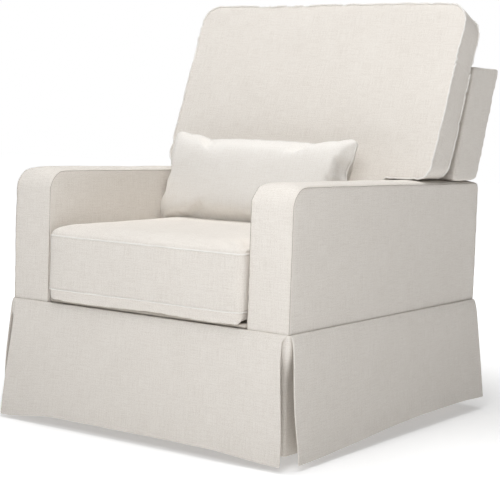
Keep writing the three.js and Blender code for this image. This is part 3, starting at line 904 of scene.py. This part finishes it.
def arm(side, sign):
    """One padded arm, with a seam along each edge, a dark cord of painted seam shadow on it, and a row of
    stitches.
    """
    outline = rounded(
        [
            (BODY_FRONT, ARM_FOOT, 0.0),
            (BODY_FRONT, ARM_TOP + 0.001, ARM_FRONT_RADIUS),
            (BODY_REAR, ARM_TOP - ARM_FALL, 0.014),
            (BODY_REAR, ARM_FOOT, 0.0),
        ]
    )
    name = f"arm_cover_{side}"
    near, far = sign * ARM_INNER, sign * (BODY_HALF - 0.001)
    piece = prism(name, outline, min(near, far), max(near, far), "X")
    remesh(piece, 0.0065, 3)
    seams = [dense([(x, a, b) for a, b in outline if b > ARM_FOOT + 0.01], False) for x in (near, far)]
    start = points_of(piece)
    facing = normals_of(piece)
    cap = np.where(np.abs(facing[:, X]) > 0.7, 0.0022, 0.0095)
    below = np.clip((start[:, Z] - SEAM_Z) / 0.02, 0.02, 1)
    cap = cap * below
    inflate(piece, seams, 5.0, np.maximum(cap, 0.0001), reach=0.006)
    relax(piece, 0.5, 1)
    subdivide(piece)
    points = points_of(piece)
    across = (points[:, X] - (near + far) / 2) / abs(far - near) * 2
    crown = np.clip(1 - across**2, 0, 1) * smooth_step(normals_of(piece)[:, Z], 0.35, 0.9)
    points[:, Z] += ARM_CROWN * crown * smooth_step(points[:, Z], ARM_TOP - 0.06, ARM_TOP - 0.02)
    move_points(piece, points)
    for k, seam in enumerate(seams):
        pucker(piece, seam, 0.0011, 0.012, 55.0, 40 + k + 5 * sign)
        pinch(piece, seam, 0.0007, 0.003)
    undulate(piece, 0.0012, 9.0, 44 + sign)
    lay_cloth(piece)
    finish_piece(piece, LINEN, "seat_body")
    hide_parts(f"arm_upholstery_{side}")
    tree = surface_tree(piece)
    for edge, seam, x in zip(("inner", "outer"), seams, (near, far)):
        path, normals = onto_surface(tree, seam, 0.0003, False)
        # A dark cord on each seam: painted shadow of the seam's groove.
        cord = tube(f"arm_seam_shadow_{edge}_{side}", path, normals, 0.0007, False)
        finish_piece(cord, SEAM_SHADOW_CORD, "seat_body")
        middle = (near + far) / 2
        inset = 0.007 * (1 if x < middle else -1)
        row = [(px + inset, py, pz) for px, py, pz in seam]
        path, normals = onto_surface(tree, row, 0.0004, False)
        sewn = stitches(f"arm_stitches_{edge}_{side}", path, normals)
        finish_piece(sewn, THREAD, "seat_body")


# ---- deck and front border ----
def deck_and_border():
    """The cloth deck under the cushion and the border in front of it."""
    half = DECK_BOX[HIGH][X]
    low, high = DECK_BOX
    outline = rectangle(half, low[Y], high[Y], (0.006, 0.006))
    deck = prism("seat_deck_cover", outline, low[Z], high[Z], "Z")
    remesh(deck, 0.005, 2)
    lay_cloth(deck)
    finish_piece(deck, DECK, "seat_body")
    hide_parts("seat_deck")
    low, high = BORDER_BOX
    half = high[X]
    outline = rectangle(half, low[Z], high[Z], (0.0, 0.004))
    border = prism("front_border_cover", outline, low[Y], high[Y], "Y")
    remesh(border, 0.005, 2)
    lay_cloth(border)
    finish_piece(border, LINEN, "seat_body")
    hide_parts("front_border")


# ---- lumbar pillow ----
PILLOW_SLOPE = math.tan(math.radians(17.0))
PILLOW_HALF, PILLOW_TALL = 0.295, 0.1375  # half its width and half its height
PILLOW_SHIFT = Vector((-0.015, -0.011, -0.013))  # from the middle of its CAD solid
PILLOW_CAP = 0.050  # most that each side swells


def lumbar_pillow():
    """The loose knife-edge pillow, swollen freely, with its edge seam."""
    low, high = PILLOW_BOX
    centre = (Vector(low) + Vector(high)) / 2 + PILLOW_SHIFT
    at = Matrix.Translation((centre.x, 0, 0)) @ leaning(PILLOW_SLOPE, centre.y, centre.z)
    half, tall = PILLOW_HALF, PILLOW_TALL
    corners = rectangle(half, -tall, tall, (0.010, 0.010))
    outline = [
        (
            a + math.copysign(0.012 * (1 - (b / tall) ** 2), a) * min(1.0, abs(a) / (half * 0.98)) ** 12,
            b + math.copysign(0.018 * (1 - (a / half) ** 2), b) * min(1.0, abs(b) / (tall * 0.98)) ** 12,
        )
        for a, b in corners
    ]
    piece = prism("lumbar_pillow_cover", outline, -0.009, 0.009, "Y")
    remesh(piece, 0.006, 2)
    start = points_of(piece)
    track = [int(np.argmin(((start - (a, 0.0, b)) ** 2).sum(1))) for a, b in outline]
    inflate(piece, [], 6.0, np.full(len(start), PILLOW_CAP), frames=22)
    relax(piece, 0.5, 2)
    seam = eased(points_of(piece)[track], 10, True)
    subdivide(piece)
    pucker(piece, seam, 0.0022, 0.03, 38.0, 51)
    undulate(piece, 0.0022, 8.0, 52)
    lay_cloth(piece)
    finish_piece(piece, PILLOW_LINEN, "loose_pillow")
    cord_round("lumbar_pillow_seam", piece, seam, 0.0016, HIGHLIT_WELT, "loose_pillow", at)
    piece.data.transform(at)
    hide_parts("lumbar_pillow")


# ---- skirt ----
PANEL_THICK = 0.0035


def lined_sheet(name, surface, width, height, step=0.007, thick=PANEL_THICK):
    """A lined cloth panel: surface(u, v) gives a point and the outward direction, u and v from 0 to 1."""
    across, down = max(4, round(width / step)), max(4, round(height / step))
    front, back, uv = [], [], []
    for j in range(down + 1):
        for i in range(across + 1):
            point, out = surface(i / across, j / down)
            front.append(point)
            back.append(point - out * thick)
            uv.append((i / across * width, -j / down * height))
    count = len(front)
    row = across + 1
    faces = []
    for j in range(down):
        for i in range(across):
            a, b = j * row + i, j * row + i + 1
            c, d = (j + 1) * row + i + 1, (j + 1) * row + i
            faces.append((a, b, c, d))
            faces.append((count + a, count + d, count + c, count + b))
    rim = list(range(across))
    rim += [j * row + across for j in range(down)]
    rim += [down * row + i for i in range(across, 0, -1)]
    rim += [j * row for j in range(down, 0, -1)]
    for k, a in enumerate(rim):
        b = rim[(k + 1) % len(rim)]
        faces.append((b, a, count + a, count + b))
    made = mesh_object(name, front + back, faces)
    layer = made.data.uv_layers.new(name=CLOTH_UV)
    flat = np.array(uv + uv)
    corners = np.empty(len(made.data.loops), dtype=int)
    made.data.loops.foreach_get("vertex_index", corners)
    layer.data.foreach_set("uv", flat[corners].ravel())
    bm = bmesh.new()
    bm.from_mesh(made.data)
    bmesh.ops.recalc_face_normals(bm, faces=bm.faces)
    bm.to_mesh(made.data)
    bm.free()
    subdivide(made)
    return made


def smooth_step(value, low, high):
    """From 0 at low to 1 at high, level at both ends."""
    t = np.clip((value - low) / (high - low), 0.0, 1.0)
    return t * t * (3 - 2 * t)


FLARE = {"front": 0.0245, "rear": 0.0185, "left": 0.0215, "right": 0.0215}
SHOULDER = 0.0065


def hang_out(drop, flare, height):
    """How far a panel stands off the body at a depth below its seam."""
    return 0.0035 + SHOULDER * (1 - math.exp(-drop / 0.013)) + flare * drop / height


def hem_height(side, along):
    """Height of the hem at a place along a panel, measured from the middle of the chair."""
    if side in ("front", "rear"):
        base = 0.0235 if side == "front" else 0.034
        left = 0.017 * smooth_step(-along, 0.22, 0.40)
        right = 0.0115 * smooth_step(along, 0.20, 0.41)
        return base - (left + right) * (1.0 if side == "front" else 0.4)
    rise = 0.0235 * smooth_step(along, -0.45, 0.18)
    return 0.0125 + rise - 0.005 * smooth_step(along, 0.33, 0.46)


def skirt_panel(side):
    """One side of the skirt, with its fold lines and its hem."""
    end = side in ENDS
    sign = ENDS[side] if end else SIDES[side]
    half_top = BODY_HALF if end else HALF_DEPTH
    face = HALF_DEPTH if end else BODY_HALF
    seed = {"front": 61, "rear": 62, "left": 63, "right": 64}[side]

    def edge(toward, drop, height):
        """Where the panel's vertical edge is, at a depth below the seam."""
        t = drop / height
        if end:
            notch = 0.011 * smooth_step(t, 0.0, 0.05)
            spread = 0.021 * smooth_step(t, 0.05, 1.0)
            return half_top - 0.0015 - notch + spread
        if toward < 0:
            return half_top - 0.0015 + 0.005 * smooth_step(t, 0.1, 0.5) - 0.009 * smooth_step(t, 0.55, 1.0)
        return half_top - 0.0015 + 0.022 * t

    def surface(u, v):
        along = (u * 2 - 1) * half_top
        height = SEAM_Z - hem_height(side, along)
        drop = v * height
        reach = edge(-1 if u < 0.5 else 1, drop, height)
        along = (u * 2 - 1) * reach
        out = face + hang_out(drop, FLARE[side], height)
        folds = noise.noise(Vector((along * 4.2, seed * 3.1, v * 0.6)))
        fine = noise.noise(Vector((along * 11.0, seed * 1.7, v * 1.4)))
        out += (0.0045 * folds + 0.0013 * fine) * smooth_step(v, 0.04, 0.9)
        hem_fold = 0.0007 * math.exp(-(((height - drop - 0.026) / 0.0025) ** 2))
        out += hem_fold
        z = SEAM_Z - drop
        direction = Vector((0, sign, 0)) if end else Vector((sign, 0, 0))
        if end:
            return Vector((along, MID_Y + sign * out, z)), direction
        return Vector((sign * out, MID_Y + along, z)), direction

    width, height = 2 * half_top, SEAM_Z - HEM_Z
    panel = lined_sheet(f"skirt_panel_{side}", surface, width, height)
    finish_piece(panel, LINEN, "seat_body")
    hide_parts(f"skirt_{side}")


def pleat_insert(end, side):
    """The L-shaped panel tucked behind the slit at a corner of the skirt."""
    sx, sy = SIDES[side], ENDS[end]
    leg, turn = 0.068, 0.007
    top, bottom = SEAM_Z - 0.001, (HEM_Z + 0.014 if end == "front" else 0.046)
    straight = leg - turn
    length = 2 * straight + turn * math.pi / 2

    def surface(u, v):
        drop = v * (top - bottom)
        t = drop / (top - HEM_Z)
        tuck = 0.027 * smooth_step(t, 0.08, 0.42)
        x_out = BODY_HALF + 0.0030 + 0.0225 * t - tuck
        y_out = HALF_DEPTH + 0.0030 + 0.024 * t - tuck
        travelled = u * length
        if travelled < straight:
            x, y, out = x_out - leg + travelled, y_out, (0.0, 1.0)
        elif travelled > length - straight:
            x, y, out = x_out, y_out - leg + (length - travelled), (1.0, 0.0)
        else:
            angle = (travelled - straight) / turn
            x, y = x_out - turn + turn * math.sin(angle), y_out - turn + turn * math.cos(angle)
            out = (math.sin(angle), math.cos(angle))
        point = Vector((sx * x, MID_Y + sy * y, top - drop))
        return point, Vector((sx * out[0], sy * out[1], 0))

    name = f"skirt_insert_{end}_{side}"
    insert = lined_sheet(name, surface, length, top - bottom, step=0.005, thick=0.0022)
    finish_piece(insert, LINEN, "seat_body")
    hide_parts(f"skirt_pleat_{end}_{side}")


# ---- surroundings ----
def camera():
    """About 35 degrees to the right of the front and 5 degrees up."""
    azimuth, elevation, roll = (math.radians(a) for a in (34.555, 5.227, 1.95))
    distance = 3.6539
    aim = Vector((-0.0245, MID_Y + 0.0173, 0.4342))
    back = Vector(
        (
            math.sin(azimuth) * math.cos(elevation),
            -math.cos(azimuth) * math.cos(elevation),
            math.sin(elevation),
        )
    )
    data = bpy.data.cameras.new("camera")
    data.lens = 103.9
    data.sensor_width = 36.0
    made = bpy.data.objects.new("camera", data)
    made.rotation_mode = "QUATERNION"
    made.location = aim + back * distance
    turn = (-back).to_track_quat("-Z", "Y")
    made.rotation_quaternion = turn @ Matrix.Rotation(roll, 4, "Z").to_quaternion()
    bpy.context.scene.collection.objects.link(made)
    bpy.context.scene.camera = made


def floor():
    """A white ground that glows more with distance, so that it meets a white background."""
    size = 12.0
    made = mesh_object(
        "floor",
        [(-size, -size, 0), (size, -size, 0), (size, size, 0), (-size, size, 0)],
        [(0, 1, 2, 3)],
    )
    g = Graph("floor")
    place = g.place()
    grain = g.noise(place, 40.0, 2.0)
    x, y, _ = g.split(place)
    away = g.math("SQRT", g.math("ADD", g.math("MULTIPLY", x, x), g.math("MULTIPLY", y, y)))
    made.data.materials.append(
        g.set(
            Base_Color=g.ramp(grain, (0.3, (0.79, 0.79, 0.79)), (0.7, (0.81, 0.81, 0.81))),
            Roughness=0.8,
            Specular_IOR_Level=0.1,
            Emission_Color=(1.0, 1.0, 1.0, 1.0),
            Emission_Strength=g.span(away, 0.7, 2.2, 0.37, 1.0),
        )
    )


def area_light(name, place, target, size, power, tint=(1.0, 1.0, 1.0)):
    """A rectangular light at a place, facing a target."""
    data = bpy.data.lights.new(name, "AREA")
    data.shape = "RECTANGLE"
    data.size, data.size_y = size
    data.energy = power
    data.color = tint
    made = bpy.data.objects.new(name, data)
    made.location = place
    made.rotation_mode = "QUATERNION"
    made.rotation_quaternion = (Vector(target) - Vector(place)).to_track_quat("-Z", "Y")
    bpy.context.scene.collection.objects.link(made)


FILL_LIGHT = 0.01
SIDE_TINT = (1.0, 0.94, 0.87)
KEY_TINT = (0.97, 0.985, 1.0)


def surroundings():
    """A white world that lights little by itself, three area lights and the floor."""
    world = bpy.data.worlds.new("studio")
    world.use_nodes = True
    bpy.context.scene.world = world
    nodes, links = world.node_tree.nodes, world.node_tree.links
    seen = nodes["Background"]
    seen.inputs[0].default_value = (1.0, 1.0, 1.0, 1.0)
    fill = nodes.new("ShaderNodeBackground")
    fill.inputs[0].default_value = (1.0, 0.985, 0.965, 1.0)
    fill.inputs[1].default_value = FILL_LIGHT
    ray = nodes.new("ShaderNodeLightPath")
    mix = nodes.new("ShaderNodeMixShader")
    links.new(ray.outputs["Is Camera Ray"], mix.inputs[0])
    links.new(fill.outputs[0], mix.inputs[1])
    links.new(seen.outputs[0], mix.inputs[2])
    links.new(mix.outputs[0], nodes["World Output"].inputs[0])
    view = bpy.context.scene.view_settings
    view.view_transform = "Standard"
    view.look = "None"
    area_light("key", (0.9, -1.8, 1.5), (0.05, 0, 0.5), (0.9, 0.9), 15.2, KEY_TINT)
    area_light("overhead", (-0.15, -0.35, 4.2), (0, 0, 0.2), (3.0, 3.0), 139.0)
    area_light("side", (1.7, -1.5, 0.9), (0.4, 0, 0.4), (0.9, 0.9), 1.6, SIDE_TINT)
    floor()


camera()
surroundings()
dress_frame()
for side, sign in SIDES.items():
    arm(side, sign)
deck_and_border()
seat_cushion()
back_shell()
outside_back()
back_cushion()
lumbar_pillow()
for side in (*ENDS, *SIDES):
    skirt_panel(side)
for end in ENDS:
    for side in SIDES:
        pleat_insert(end, side)
